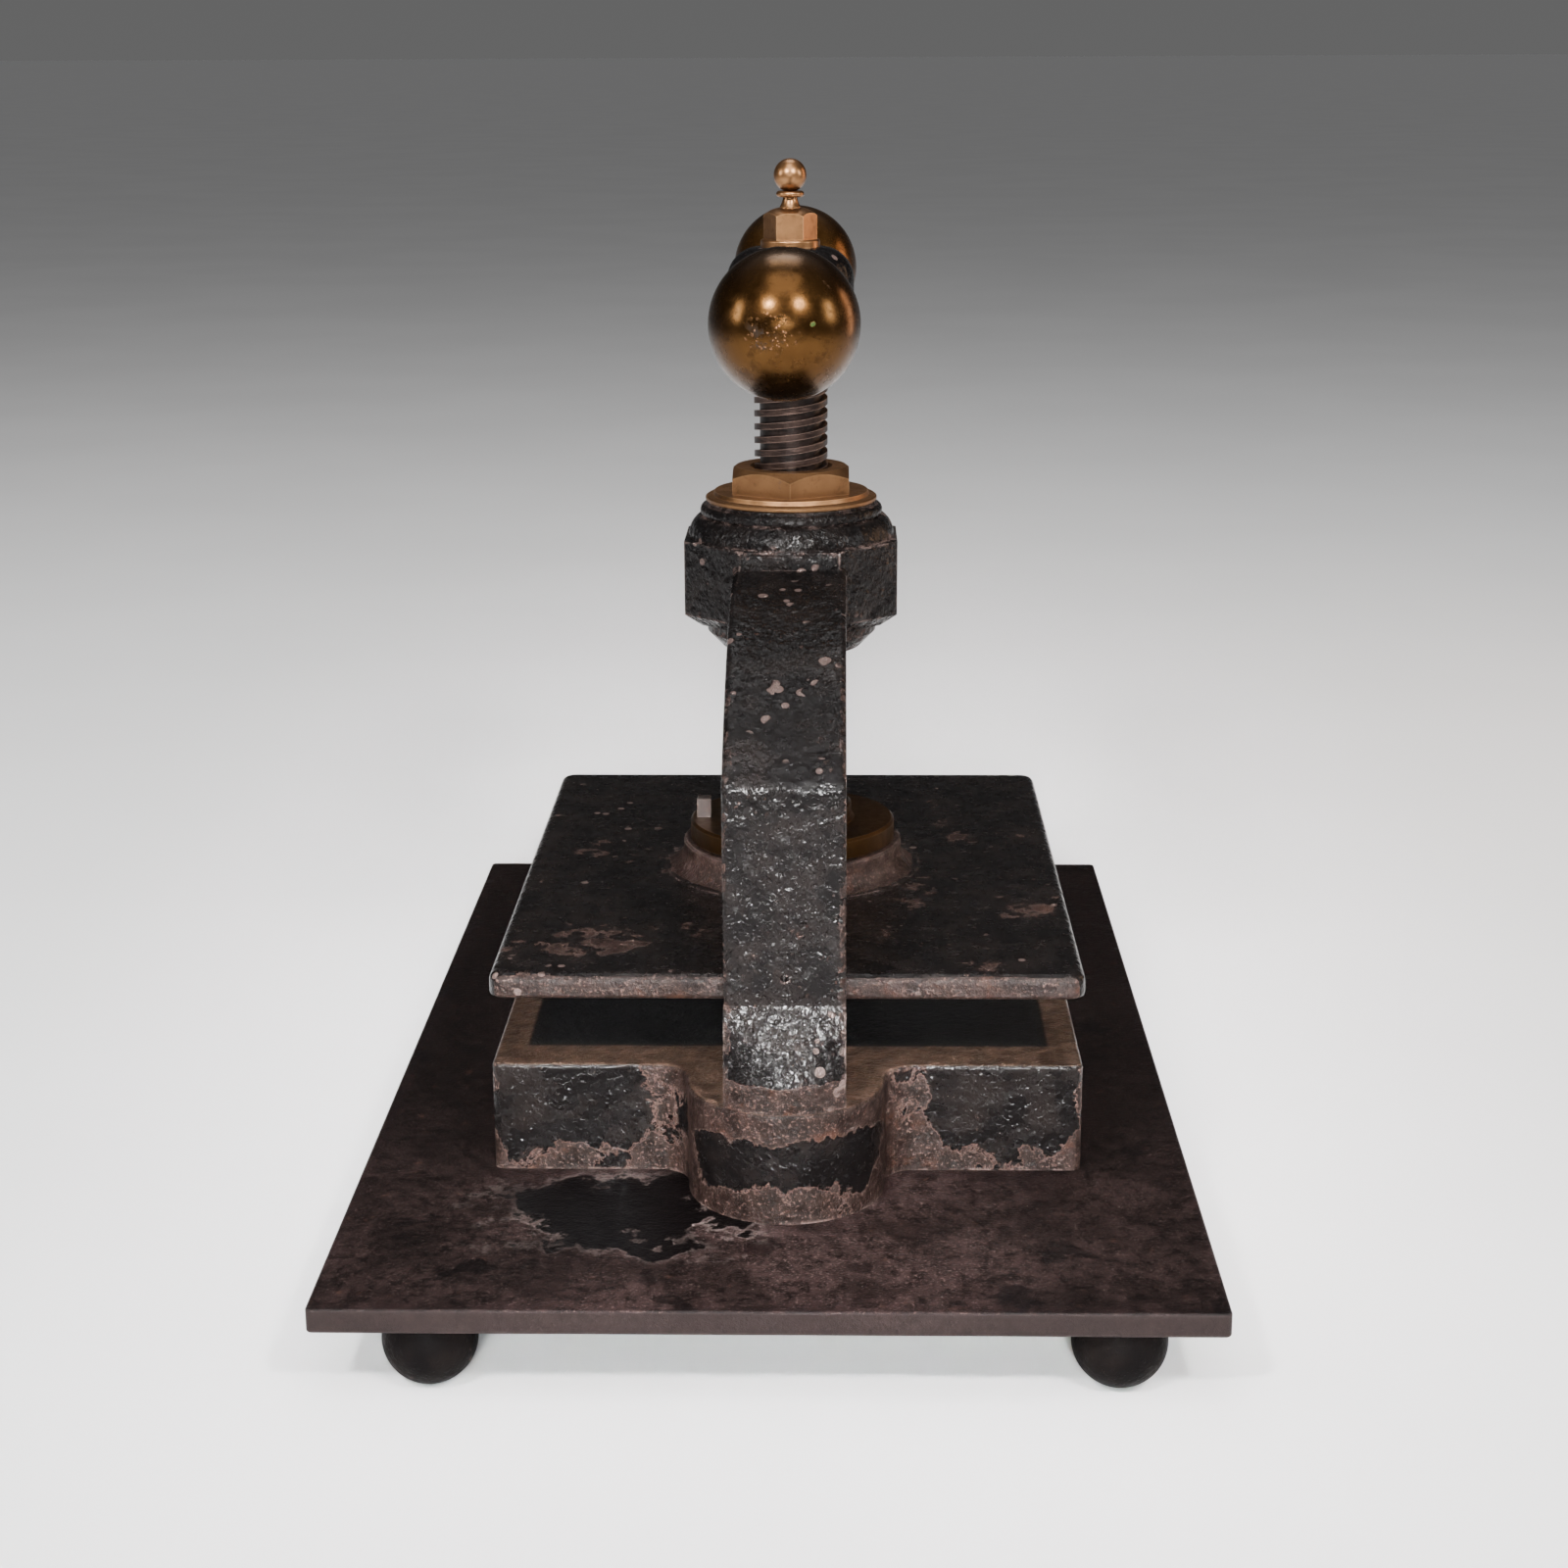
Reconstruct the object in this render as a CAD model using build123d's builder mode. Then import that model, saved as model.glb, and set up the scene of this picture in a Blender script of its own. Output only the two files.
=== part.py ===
"""Bookbinding press: a cast bed and arch on a flat base plate, with a platen driven by a
two-start screw and a ball-weighted handle.

Millimetres. The origin is on the floor, under the middle of the base plate. X runs across the
press, Y along the arch and the handle, Z up. The screw stands a little to the +X side.
"""
import os
from math import sqrt

from build123d import *

os.makedirs("parts", exist_ok=True)

# base plate and feet
plate_width = 351.8
plate_length = 570.0
plate_thick = 10.0
foot_height = 30.5
foot_radius = 18.8
foot_centre_height = 18.5
foot_spacing_x = 268.0
foot_spacing_y = 524.0
foot_offset_x = 2.0
foot_stud_radius = 5.0
foot_stud_depth = 7.0

# running and assembly fits, radial
fit = 0.05

# press axis and bed
press_x = 5.2
bed_width = 249.5
bed_length = 306.0
bed_height = 47.7
lobe_radius = 41.0
lobe_centre_y = 167.0
pocket_size = 48.0
pocket_pitch = 57.0
pocket_columns = 4
pocket_rows = 5
bed_top_thick = 12.0
bed_screw_radius = 4.0
bed_screw_length = 30.0
bed_screw_spacing_x = 2 * pocket_pitch
bed_screw_spacing_y = 3 * pocket_pitch

# arch
arch_width = 49.6
leg_outer_y = 192.0
leg_inner_y = 165.0
foot_pad_height = 10.8
flare_height = 40.8
knee_height = 132.2
arm_mid_y = 127.5
arm_inner_y = 52.0
boss_flats = 96.0
boss_bottom = 253.5
boss_top = 287.0
arm_top = 280.0
boss_ring_top = 303.0
boss_collar_bottom = 236.5
arch_bolt_y = 182.0
arch_bolt_radius = 6.0
arch_bolt_grip = 28.0

# nut and screw
sleeve_radius = 24.0
nut_flange_radius = 38.9
nut_flats = 52.4
nut_top = 318.5
screw_crest_radius = 16.6
screw_root_radius = 14.1
lead = 12.0
starts = 2
ridge_width = 2.8
thread_bottom = 169.0
thread_top = 371.0
neck_radius = 15.6
journal_radius = 12.0
hub_bottom = 375.5
hub_height = 40.4
hub_radius = 28.3
drive_square = 20.0
stud_radius = 7.0

# handle
ball_radius = 30.25
ball_centre_y = 139.1
arm_root_radius = 13.0
arm_end_radius = 9.0
arm_stud_radius = 5.0

# platen
platen_width = 249.0
platen_length = 318.0
platen_thick = 10.6
platen_bottom = 119.4
platen_boss_radius = 51.0
platen_boss_base = 59.5
platen_boss_top = 143.4
pocket_radius = 20.0
pocket_floor = 127.0
pad_thick = 6.0
thrust_gap = 0.1
thrust_ring_radius = 18.8
collar_radius = 47.7
collar_thick = 9.6
collar_hub_radius = 27.6
collar_hub_height = 8.0
collar_bolt_circle = 41.4
collar_bolt_radius = 2.4
collar_bolt_head = 6.4
collar_bolt_head_height = 9.0

plate_top = foot_height + plate_thick
bed_top = plate_top + bed_height
hub_top = hub_bottom + hub_height
collar_top = platen_boss_top + collar_thick
pad_top = pocket_floor + pad_thick
screw_bottom = pad_top + thrust_gap
arm_height = hub_bottom + hub_height / 2
press_axis = Axis((press_x, 0, 0), (0, 0, 1))


def press_level(height):
    """Horizontal plane at a height, centred on the press axis."""
    return Plane((press_x, 0, height))


def half_section(y):
    """Plane for the half section of a turned part: local x is the radius, local y the height."""
    return Plane(origin=(press_x, y, 0), x_dir=(1, 0, 0), z_dir=(0, -1, 0))


turning_plane = half_section(0)


def helical_ridges(inner, outer, bottom, top, offset):
    """Square right-handed ridges of every start, cut square at both ends, in phase by height."""
    start_height = (bottom // lead - 1) * lead + offset
    with BuildPart() as ridge:
        with BuildLine() as path:
            Helix(lead, top - start_height + lead, (inner + outer) / 2)
        with BuildSketch(Plane(origin=path.line @ 0, x_dir=(1, 0, 0), z_dir=path.line % 0)):
            Rectangle(outer - inner, ridge_width)
        sweep(path=path.line, is_frenet=True)
    with BuildPart() as ridges:
        with Locations((press_x, 0, start_height)):
            with PolarLocations(0, starts):
                add(ridge.part)
        with BuildSketch(press_level(bottom)):
            Circle(outer + 5)
        extrude(amount=top - bottom, mode=Mode.INTERSECT)
    return ridges.part


# --- base plate ---
with BuildPart() as base_plate:
    with BuildSketch(Plane.XY.offset(foot_height)):
        RectangleRounded(plate_width, plate_length, 2.5)
    extrude(amount=plate_thick)
    rims = base_plate.faces().filter_by(Axis.Z).edges()
    fillet(rims, 1.0)
    with BuildSketch(Plane.XY.offset(foot_height)):
        with Locations((foot_offset_x, 0)):
            with GridLocations(foot_spacing_x, foot_spacing_y, 2, 2):
                Circle(foot_stud_radius + fit)
    extrude(amount=foot_stud_depth, mode=Mode.SUBTRACT)
    with Locations((press_x, 0, foot_height)):
        with GridLocations(0, 2 * arch_bolt_y, 1, 2):
            Cylinder(arch_bolt_radius + 0.5, 3 * plate_thick, mode=Mode.SUBTRACT)
        with GridLocations(bed_screw_spacing_x, bed_screw_spacing_y, 2, 2):
            Cylinder(bed_screw_radius + fit, 3 * plate_thick, mode=Mode.SUBTRACT)
            Cone(2 * bed_screw_radius + fit, bed_screw_radius + fit, bed_screw_radius,
                 align=(Align.CENTER, Align.CENTER, Align.MIN), mode=Mode.SUBTRACT)
base_plate.part.label = "base_plate"
export_step(base_plate.part, "parts/base_plate.step")


# --- feet ---
def ball_foot(x, y):
    """Truncated ball with a stud that enters the base plate."""
    with BuildPart() as foot:
        with Locations((x, y, foot_centre_height)):
            Sphere(foot_radius)
        with BuildSketch(Plane((x, y, 0))):
            Circle(foot_radius + 1)
        extrude(amount=foot_height, mode=Mode.INTERSECT)
        with BuildSketch(Plane((x, y, foot_height))):
            Circle(foot_stud_radius)
        extrude(amount=foot_stud_depth - 0.5)
    return foot.part


for label, side_x, side_y in (
    ("foot_front_left", -1, -1),
    ("foot_front_right", 1, -1),
    ("foot_back_left", -1, 1),
    ("foot_back_right", 1, 1),
):
    foot_part = ball_foot(foot_offset_x + side_x * foot_spacing_x / 2, side_y * foot_spacing_y / 2)
    foot_part.label = label
    export_step(foot_part, f"parts/{label}.step")


# --- bed ---
with BuildPart() as bed:
    with BuildSketch(press_level(plate_top)) as bed_plan:
        Rectangle(bed_width, bed_length)
        with GridLocations(0, 2 * lobe_centre_y, 1, 2):
            Circle(lobe_radius)
        Rectangle(2 * lobe_radius, 2 * lobe_centre_y)
        roots = [
            v for v in bed_plan.vertices()
            if abs(abs(v.Y) - bed_length / 2) < 0.01 and abs(v.X) < lobe_radius + 1
        ]
        fillet(roots, 13.5)
        corners = [v for v in bed_plan.vertices() if abs(v.X) > bed_width / 2 - 0.01]
        fillet(corners, 4)
    extrude(amount=bed_height)
    top_rim = bed.faces().sort_by(Axis.Z)[-1].edges()
    fillet(top_rim, 2.0)
    with BuildSketch(press_level(plate_top)):
        with GridLocations(pocket_pitch, pocket_pitch, pocket_columns, pocket_rows):
            RectangleRounded(pocket_size, pocket_size, 4)
        with GridLocations(bed_screw_spacing_x, bed_screw_spacing_y, 2, 2):
            Circle(2.2 * bed_screw_radius, mode=Mode.SUBTRACT)
    extrude(amount=bed_height - bed_top_thick, mode=Mode.SUBTRACT)
    with BuildSketch(press_level(plate_top)):
        with GridLocations(bed_screw_spacing_x, bed_screw_spacing_y, 2, 2):
            Circle(bed_screw_radius + fit)
    extrude(amount=bed_screw_length - plate_thick + 1, mode=Mode.SUBTRACT)
    with BuildSketch(press_level(plate_top)):
        with GridLocations(0, 2 * arch_bolt_y, 1, 2):
            Circle(arch_bolt_radius + 0.5)
    extrude(amount=bed_height, mode=Mode.SUBTRACT)
bed.part.label = "bed"
export_step(bed.part, "parts/bed.step")

# --- countersunk screws between base plate and bed ---
with BuildPart() as bed_screws:
    with Locations((press_x, 0, foot_height)):
        with GridLocations(bed_screw_spacing_x, bed_screw_spacing_y, 2, 2):
            Cylinder(bed_screw_radius, bed_screw_length, align=(Align.CENTER, Align.CENTER, Align.MIN))
            Cone(2 * bed_screw_radius, bed_screw_radius, bed_screw_radius,
                 align=(Align.CENTER, Align.CENTER, Align.MIN))
            Box(1.2, 5 * bed_screw_radius, 1.6, align=(Align.CENTER, Align.CENTER, Align.MIN),
                mode=Mode.SUBTRACT)
bed_screws.part.label = "bed_screws"
export_step(bed_screws.part, "parts/bed_screws.step")

# --- arch frame ---
pad_back_y = leg_inner_y + 3
pad_side_y = lobe_centre_y + sqrt(lobe_radius**2 - (arch_width / 2) ** 2)

with BuildPart() as arch_pad:
    for height in (bed_top, bed_top + foot_pad_height):
        with BuildSketch(press_level(height)):
            with BuildLine():
                front = ThreePointArc((-arch_width / 2, -pad_side_y), (0, -lobe_centre_y - lobe_radius),
                                      (arch_width / 2, -pad_side_y))
                Polyline(front @ 1, (arch_width / 2, -pad_back_y), (-arch_width / 2, -pad_back_y), front @ 0)
            make_face()
    with BuildSketch(press_level(bed_top + flare_height)):
        with Locations((0, -leg_outer_y)):
            Rectangle(arch_width, leg_outer_y - pad_back_y, align=(Align.CENTER, Align.MIN))
    loft(ruled=True)

with BuildPart() as arch_frame:
    with BuildSketch(Plane.YZ.offset(press_x)) as arch_side:
        with BuildLine():
            Line((0, arm_top), (arm_inner_y, arm_top))
            ThreePointArc((arm_inner_y, arm_top), (arm_mid_y, arm_top - 18.3),
                          (leg_outer_y, bed_top + knee_height))
            Polyline((leg_outer_y, bed_top + knee_height), (leg_outer_y, bed_top),
                     (leg_inner_y, bed_top), (leg_inner_y, bed_top + knee_height - 15))
            ThreePointArc((leg_inner_y, bed_top + knee_height - 15), (105.3, arm_top - 43),
                          (arm_inner_y - 20, arm_top - 27))
            Polyline((arm_inner_y - 20, arm_top - 27), (0, arm_top - 27), (0, arm_top))
        make_face()
        mirror(about=Plane.YZ)
        knees = [v for v in arch_side.vertices() if abs(abs(v.X) - leg_outer_y) < 0.01
                 and abs(v.Y - bed_top - knee_height) < 0.01]
        fillet(knees, 7)
        inner_bends = [v for v in arch_side.vertices()
                       if abs(abs(v.X) - leg_inner_y) < 0.01 and v.Y > bed_top + 1]
        fillet(inner_bends, 20)
    extrude(amount=arch_width / 2, both=True)
    long_edges = [e for e in arch_frame.faces().filter_by(Axis.X).edges()
                  if e.bounding_box().max.Z > bed_top + 0.1]
    fillet(long_edges, 2.4)
    with BuildSketch(Plane.YZ.offset(press_x)):
        with BuildLine():
            Polyline((boss_flats / 2 + 12, arm_top - 2.2), (boss_flats / 2 + 12, arm_top - 6),
                     (30, arm_top - 6), (30, arm_top + 6.5), (boss_flats / 2 - 0.6, arm_top + 6.5))
            RadiusArc((boss_flats / 2 - 0.6, arm_top + 6.5), (boss_flats / 2 + 12, arm_top - 2.2), -14)
        make_face()
        mirror(about=Plane.YZ)
    extrude(amount=arch_width / 2 - 2.6, both=True)
    add(arch_pad.part)
    add(mirror(arch_pad.part, about=Plane.XZ))
    with BuildSketch(press_level(boss_bottom)):
        RegularPolygon(boss_flats / 2, 8, major_radius=False, rotation=22.5)
    extrude(amount=boss_top - boss_bottom)
    with BuildSketch(press_level(boss_bottom)):
        RegularPolygon(boss_flats / 2, 8, major_radius=False, rotation=22.5)
    with BuildSketch(press_level(boss_bottom - 5.5)):
        RegularPolygon(boss_flats / 2 - 7.6, 8, major_radius=False, rotation=22.5)
    loft()
    with BuildSketch(turning_plane):
        with BuildLine():
            Polyline((10, boss_bottom + 3), (38.6, boss_bottom + 3), (38.6, boss_bottom - 10),
                     (31.8, boss_collar_bottom), (10, boss_collar_bottom), (10, boss_bottom + 3))
        make_face()
    revolve(axis=press_axis)
    with BuildSketch(turning_plane):
        with BuildLine():
            Polyline((10, boss_top - 3), (46.8, boss_top - 3), (46.8, boss_top))
            ThreePointArc((46.8, boss_top), (45.4, boss_top + 5.6), (42.2, boss_top + 9.2))
            Line((42.2, boss_top + 9.2), (40.5, boss_top + 9.6))
            ThreePointArc((40.5, boss_top + 9.6), (41.4, boss_top + 12), (39.2, boss_top + 14.6))
            Polyline((39.2, boss_top + 14.6), (38.2, boss_ring_top), (10, boss_ring_top), (10, boss_top - 3))
        make_face()
    revolve(axis=press_axis)
    with BuildSketch(press_level(boss_collar_bottom)):
        Circle(sleeve_radius + fit)
    extrude(amount=boss_ring_top - boss_collar_bottom, mode=Mode.SUBTRACT)
    with BuildSketch(press_level(bed_top)):
        with GridLocations(0, 2 * arch_bolt_y, 1, 2):
            Circle(arch_bolt_radius + fit)
    extrude(amount=arch_bolt_grip + 2, mode=Mode.SUBTRACT)
    with BuildSketch(Plane.YZ.offset(press_x)):
        with Locations((0, (boss_bottom + boss_top) / 2)):
            Circle(3 + fit)
    extrude(amount=boss_flats, mode=Mode.SUBTRACT)
    with BuildSketch(Plane.XZ.offset(leg_outer_y - 6)):
        with Locations((press_x, bed_top + 52.6)):
            Circle(1.7)
    extrude(amount=10, mode=Mode.SUBTRACT)
arch_frame.part.label = "arch_frame"
export_step(arch_frame.part, "parts/arch_frame.step")

# --- bolts and washers that hold the arch down ---
washer_thick = 2.0
bolt_head_height = 7.5
with BuildPart() as arch_bolt_washers:
    with BuildSketch(press_level(foot_height)):
        with GridLocations(0, 2 * arch_bolt_y, 1, 2):
            Circle(12)
            Circle(arch_bolt_radius + 0.4, mode=Mode.SUBTRACT)
    extrude(amount=-washer_thick)
arch_bolt_washers.part.label = "arch_bolt_washers"
export_step(arch_bolt_washers.part, "parts/arch_bolt_washers.step")

with BuildPart() as arch_bolts:
    with BuildSketch(press_level(foot_height - washer_thick)):
        with GridLocations(0, 2 * arch_bolt_y, 1, 2):
            RegularPolygon(9.5, 6, major_radius=False)
    extrude(amount=-bolt_head_height)
    chamfer(arch_bolts.faces().sort_by(Axis.Z)[:2].edges(), 0.8)
    with BuildSketch(press_level(foot_height - washer_thick)):
        with GridLocations(0, 2 * arch_bolt_y, 1, 2):
            Circle(arch_bolt_radius)
    extrude(amount=bed_top + arch_bolt_grip - foot_height + washer_thick)
arch_bolts.part.label = "arch_bolts"
export_step(arch_bolts.part, "parts/arch_bolts.step")

# --- screw nut ---
nut_ridges = helical_ridges(screw_root_radius + 0.3, screw_crest_radius + 1.2,
                            boss_collar_bottom + 2, nut_top - 4, lead / starts / 2)
with BuildPart() as screw_nut:
    with BuildSketch(press_level(boss_ring_top + 2)):
        RegularPolygon(nut_flats / 2, 6, major_radius=False, rotation=30)
    extrude(amount=nut_top - boss_ring_top - 2)
    with BuildSketch(turning_plane):
        with BuildLine():
            Polyline((0, boss_ring_top), (34, boss_ring_top), (34, nut_top - 7), (25, nut_top),
                     (0, nut_top), (0, boss_ring_top))
        make_face()
    revolve(axis=press_axis, mode=Mode.INTERSECT)
    with BuildSketch(turning_plane):
        with BuildLine():
            Polyline((0, boss_collar_bottom), (sleeve_radius - 1, boss_collar_bottom),
                     (sleeve_radius, boss_collar_bottom + 1), (sleeve_radius, boss_ring_top),
                     (nut_flange_radius - 0.6, boss_ring_top), (nut_flange_radius, boss_ring_top + 0.6),
                     (nut_flange_radius, boss_ring_top + 1.7), (nut_flange_radius - 0.8, boss_ring_top + 2.3),
                     (35.4, boss_ring_top + 2.6), (34.8, boss_ring_top + 4.4), (0, boss_ring_top + 4.4),
                     (0, boss_collar_bottom))
        make_face()
    revolve(axis=press_axis)
    with BuildSketch(turning_plane):
        with BuildLine():
            Polyline((0, boss_collar_bottom), (screw_crest_radius + 1.7, boss_collar_bottom),
                     (screw_crest_radius + 0.2, boss_collar_bottom + 1.5),
                     (screw_crest_radius + 0.2, nut_top - 2), (screw_crest_radius + 2.2, nut_top),
                     (0, nut_top), (0, boss_collar_bottom))
        make_face()
    revolve(axis=press_axis, mode=Mode.SUBTRACT)
    add(nut_ridges)
    with BuildSketch(Plane.YZ.offset(press_x + sleeve_radius - 1)):
        with Locations((0, (boss_bottom + boss_top) / 2)):
            Circle(3 + fit)
    extrude(amount=5, mode=Mode.SUBTRACT)
screw_nut.part.label = "screw_nut"
export_step(screw_nut.part, "parts/screw_nut.step")

with BuildPart() as nut_grub_screw:
    with BuildSketch(Plane.YZ.offset(press_x + sleeve_radius - 1)):
        with Locations((0, (boss_bottom + boss_top) / 2)):
            Circle(3)
    extrude(amount=boss_flats / 2 - sleeve_radius)
    with BuildSketch(Plane.YZ.offset(press_x + boss_flats / 2 - 3)):
        with Locations((0, (boss_bottom + boss_top) / 2)):
            Rectangle(8, 1)
    extrude(amount=2, mode=Mode.SUBTRACT)
nut_grub_screw.part.label = "nut_grub_screw"
export_step(nut_grub_screw.part, "parts/nut_grub_screw.step")

# --- press screw ---
screw_ridges = helical_ridges(screw_root_radius - 0.5, screw_crest_radius,
                              thread_bottom + 1.5, thread_top - 1.5, 0)
pin_radius = 2.0
pin_height = (screw_bottom + platen_boss_top) / 2
with BuildPart() as press_screw:
    with BuildSketch(turning_plane):
        with BuildLine():
            Polyline(
                (0, screw_bottom),
                (journal_radius - 1, screw_bottom),
                (journal_radius, screw_bottom + 1),
                (journal_radius, thread_bottom - 2),
                (screw_root_radius, thread_bottom),
                (screw_root_radius, thread_top),
                (neck_radius, thread_top),
                (neck_radius, hub_bottom),
                (stud_radius, hub_bottom),
                (stud_radius, hub_top + 12),
                (0, hub_top + 12),
                close=True,
            )
        make_face()
    revolve(axis=press_axis)
    with BuildSketch(press_level(hub_bottom)):
        Rectangle(drive_square, drive_square)
    extrude(amount=hub_height - 6)
    add(screw_ridges)
    with BuildSketch(Plane.XZ):
        with Locations((press_x, pin_height)):
            Circle(pin_radius + fit)
    extrude(amount=2 * journal_radius, both=True, mode=Mode.SUBTRACT)
press_screw.part.label = "press_screw"
export_step(press_screw.part, "parts/press_screw.step")

# --- thrust collar, its pin and the thrust pad ---
with BuildPart() as thrust_collar:
    with BuildSketch(press_level(screw_bottom)):
        Circle(thrust_ring_radius)
        Circle(journal_radius + fit, mode=Mode.SUBTRACT)
    extrude(amount=platen_boss_top - thrust_gap - screw_bottom)
    with BuildSketch(Plane.XZ):
        with Locations((press_x, pin_height)):
            Circle(pin_radius + fit)
    extrude(amount=2 * thrust_ring_radius, both=True, mode=Mode.SUBTRACT)
thrust_collar.part.label = "thrust_collar"
export_step(thrust_collar.part, "parts/thrust_collar.step")

with BuildPart() as thrust_pin:
    with BuildSketch(Plane.XZ):
        with Locations((press_x, pin_height)):
            Circle(pin_radius)
    extrude(amount=thrust_ring_radius - 0.5, both=True)
thrust_pin.part.label = "thrust_pin"
export_step(thrust_pin.part, "parts/thrust_pin.step")

with BuildPart() as thrust_pad:
    with BuildSketch(press_level(pocket_floor)):
        Circle(pocket_radius - fit)
    extrude(amount=pad_thick)
    chamfer(thrust_pad.faces().sort_by(Axis.Z)[-1].edges(), 0.6)
thrust_pad.part.label = "thrust_pad"
export_step(thrust_pad.part, "parts/thrust_pad.step")

# --- platen ---
with BuildPart() as platen:
    with BuildSketch(press_level(platen_bottom)):
        RectangleRounded(platen_width, platen_length, 7)
    extrude(amount=platen_thick)
    fillet(platen.faces().sort_by(Axis.Z)[-1].edges(), 4.0)
    fillet(platen.faces().sort_by(Axis.Z)[0].edges(), 2.0)
    platen_top = platen_bottom + platen_thick
    with BuildSketch(turning_plane):
        with BuildLine():
            Polyline((0, platen_boss_top), (0, platen_top - 2), (platen_boss_base, platen_top - 2),
                     (platen_boss_base, platen_top + 0.3))
            RadiusArc((platen_boss_base, platen_top + 0.3),
                      (platen_boss_radius, platen_top + 7.5), 9)
            Polyline((platen_boss_radius, platen_top + 7.5), (platen_boss_radius, platen_boss_top - 1),
                     (platen_boss_radius - 1, platen_boss_top), (0, platen_boss_top))
        make_face()
    revolve(axis=press_axis)
    with BuildSketch(press_level(pocket_floor)):
        Circle(pocket_radius)
    extrude(amount=platen_boss_top - pocket_floor, mode=Mode.SUBTRACT)
    with BuildSketch(press_level(platen_boss_top)):
        with PolarLocations(collar_bolt_circle, 3, start_angle=60):
            Circle(collar_bolt_radius + fit)
    extrude(amount=-12.5, mode=Mode.SUBTRACT)
platen.part.label = "platen"
export_step(platen.part, "parts/platen.step")

# --- collar that keeps the screw end in the platen ---
with BuildPart() as platen_collar:
    with BuildSketch(turning_plane):
        with BuildLine():
            Polyline(
                (journal_radius + fit, platen_boss_top),
                (collar_radius - 0.8, platen_boss_top),
                (collar_radius, platen_boss_top + 0.8),
                (collar_radius, collar_top - 1.2),
                (collar_radius - 1.2, collar_top),
                (collar_hub_radius + 1.5, collar_top),
                (collar_hub_radius, collar_top + 1.5),
                (collar_hub_radius, collar_top + collar_hub_height - 1.2),
                (collar_hub_radius - 1.2, collar_top + collar_hub_height),
                (journal_radius + 1, collar_top + collar_hub_height),
                (journal_radius + fit, collar_top + collar_hub_height - 1),
                close=True,
            )
        make_face()
    revolve(axis=press_axis)
    with BuildSketch(press_level(platen_boss_top)):
        with PolarLocations(collar_bolt_circle, 3, start_angle=60):
            Circle(collar_bolt_radius + fit)
    extrude(amount=collar_thick, mode=Mode.SUBTRACT)
platen_collar.part.label = "platen_collar"
export_step(platen_collar.part, "parts/platen_collar.step")

with BuildPart() as collar_bolts:
    with BuildSketch(press_level(collar_top)):
        with PolarLocations(collar_bolt_circle, 3, start_angle=60, rotate=False):
            Rectangle(collar_bolt_head, collar_bolt_head)
    extrude(amount=collar_bolt_head_height)
    chamfer(collar_bolts.faces().filter_by(Axis.Z).sort_by(Axis.Z)[-3:].edges(), 0.5)
    with BuildSketch(press_level(collar_top)):
        with PolarLocations(collar_bolt_circle, 3, start_angle=60):
            Circle(collar_bolt_radius)
    extrude(amount=-collar_thick - 12)
collar_bolts.part.label = "collar_bolts"
export_step(collar_bolts.part, "parts/collar_bolts.step")

# --- handle ---
ball_seat_y = ball_centre_y - sqrt(ball_radius**2 - arm_end_radius**2) + 12
arm_stud_end_y = ball_seat_y + 14
# local x runs along the arm, local y is the radius
arm_plane = Plane(origin=(press_x, 0, arm_height), x_dir=(0, 1, 0), z_dir=(1, 0, 0))
arm_axis = Axis((press_x, 0, arm_height), (0, 1, 0))
with BuildPart() as handle_arm:
    with BuildSketch(press_level(hub_bottom)):
        Circle(hub_radius)
    extrude(amount=hub_height)
    fillet(handle_arm.edges().filter_by(GeomType.CIRCLE), 14.5)
    with BuildSketch(arm_plane):
        with BuildLine():
            Polyline(
                (-arm_stud_end_y, 0),
                (-arm_stud_end_y, arm_stud_radius),
                (-ball_seat_y, arm_stud_radius),
                (-ball_seat_y, arm_end_radius),
                (-hub_radius - 70, arm_end_radius),
                (-hub_radius + 4, arm_root_radius),
                (hub_radius - 4, arm_root_radius),
                (hub_radius + 70, arm_end_radius),
                (ball_seat_y, arm_end_radius),
                (ball_seat_y, arm_stud_radius),
                (arm_stud_end_y, arm_stud_radius),
                (arm_stud_end_y, 0),
                close=True,
            )
        make_face()
    revolve(axis=arm_axis)
    with BuildSketch(press_level(hub_bottom)):
        Rectangle(drive_square + 2 * fit, drive_square + 2 * fit)
    extrude(amount=hub_height, mode=Mode.SUBTRACT)
handle_arm.part.label = "handle_arm"
export_step(handle_arm.part, "parts/handle_arm.step")


def handle_ball(side):
    """Solid ball bored for the arm end and its stud; side is -1 near, 1 far."""
    with BuildPart() as ball:
        with Locations((press_x, side * ball_centre_y, arm_height)):
            Sphere(ball_radius)
        inner_face = Plane(origin=(press_x, side * (ball_centre_y - ball_radius), arm_height),
                           x_dir=(1, 0, 0), z_dir=(0, side, 0))
        with BuildSketch(inner_face):
            Circle(arm_end_radius + fit)
        extrude(amount=ball_seat_y - ball_centre_y + ball_radius, mode=Mode.SUBTRACT)
        with BuildSketch(inner_face):
            Circle(arm_stud_radius + fit)
        extrude(amount=arm_stud_end_y - ball_centre_y + ball_radius + 0.5, mode=Mode.SUBTRACT)
    return ball.part


for label, side in (("handle_ball_near", -1), ("handle_ball_far", 1)):
    ball_part = handle_ball(side)
    ball_part.label = label
    export_step(ball_part, f"parts/{label}.step")

# --- washer, cap nut and finial on top ---
hub_washer_radius = 13.2
hub_washer_thick = 3.3
with BuildPart() as hub_washer:
    with BuildSketch(press_level(hub_top)):
        Circle(hub_washer_radius)
        Circle(stud_radius + 0.3, mode=Mode.SUBTRACT)
    extrude(amount=hub_washer_thick)
    fillet(hub_washer.faces().sort_by(Axis.Z)[-1].outer_wire().edges(), 0.9)
hub_washer.part.label = "hub_washer"
export_step(hub_washer.part, "parts/hub_washer.step")

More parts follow.
